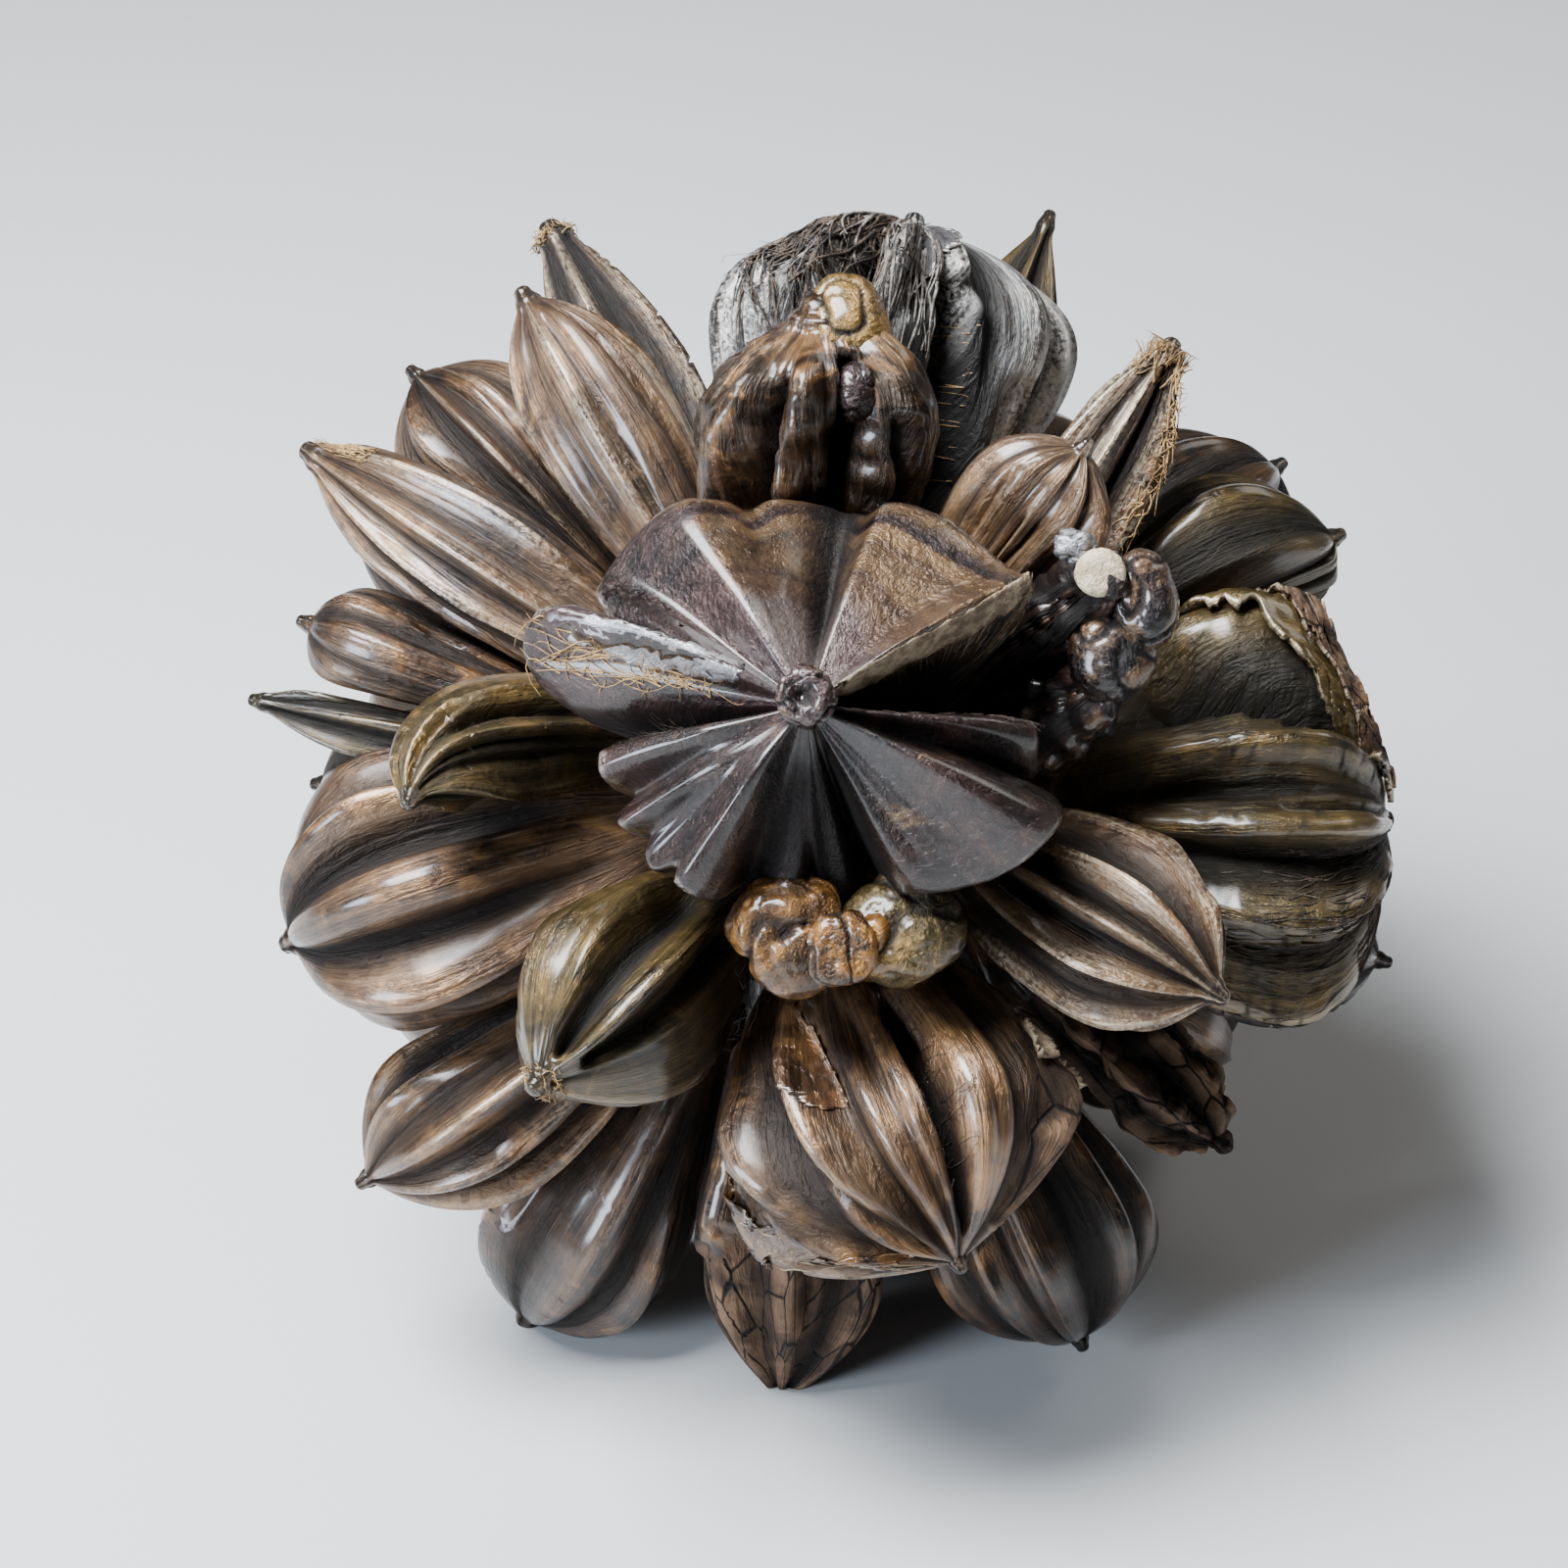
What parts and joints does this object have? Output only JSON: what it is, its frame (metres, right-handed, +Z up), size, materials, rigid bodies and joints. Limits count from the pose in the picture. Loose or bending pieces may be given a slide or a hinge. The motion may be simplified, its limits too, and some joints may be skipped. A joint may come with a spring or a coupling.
{
  "type": "nipa palm fruit cluster",
  "caption": "Dried ball-shaped head of ribbed, pointed palm fruits packed round a woody core, with a broad pleated fruit at the front; rests on its lowest fruits as a natural ornament.",
  "frame": {"origin": "on the surface that the head rests on, at the middle of its box", "axes": "+Z up, -Y towards the front, where the pleated fruit looks up and out, +X to the right seen from the front"},
  "size_m": [0.2664, 0.2501, 0.2427],
  "materials": {
    "dark_husk": "very dark brown dried husk with a waxy gloss",
    "bronze_husk": "bronze-brown dried husk with a waxy gloss and darker grooves",
    "olive_husk": "olive-brown dried husk with a waxy gloss",
    "plum_husk": "purple-brown dried husk with worn pale edges",
    "resin_lump": "golden brown resinous lump, half gloss",
    "core_wood": "near-black fibrous wood, dull"
  },
  "bodies": {
    "root": {"fruit_back_a": "bronze_husk", "fruit_back_b": "dark_husk", "fruit_back_c": "olive_husk", "fruit_back_d": "bronze_husk", "fruit_back_e": "dark_husk", "fruit_back_f": "bronze_husk", "fruit_back_g": "dark_husk", "fruit_banded": "dark_husk", "fruit_boat": "bronze_husk", "fruit_broken": "dark_husk", "fruit_bronze": "bronze_husk", "fruit_crumpled": "bronze_husk", "fruit_curved": "olive_husk", "fruit_dull_right": "olive_husk", "fruit_frayed": "bronze_husk", "fruit_jagged": "dark_husk", "fruit_keeled": "olive_husk", "fruit_left": "bronze_husk", "fruit_long": "bronze_husk", "fruit_low_left": "dark_husk", "fruit_low_right": "dark_husk", "fruit_lower_front": "bronze_husk", "fruit_lower_left": "bronze_husk", "fruit_right": "olive_husk", "fruit_scalloped": "bronze_husk", "fruit_shade_left": "dark_husk", "fruit_shade_low_right": "dark_husk", "fruit_shade_right": "dark_husk", "fruit_sliver": "dark_husk", "fruit_small_left": "olive_husk", "fruit_star": "plum_husk", "fruit_stem_a": "olive_husk", "fruit_stem_b": "dark_husk", "fruit_stem_c": "bronze_husk", "fruit_stem_d": "dark_husk", "fruit_top": "dark_husk", "fruit_truncated": "dark_husk", "fruit_under": "bronze_husk", "fruit_under_left": "olive_husk", "fruit_under_right": "dark_husk", "fruit_upper_left": "bronze_husk", "fruit_winged": "olive_husk", "stunted_cut": "plum_husk", "stunted_gold": "resin_lump", "stunted_knob": "plum_husk", "woody_core": "core_wood"}
  },
  "joints": []
}
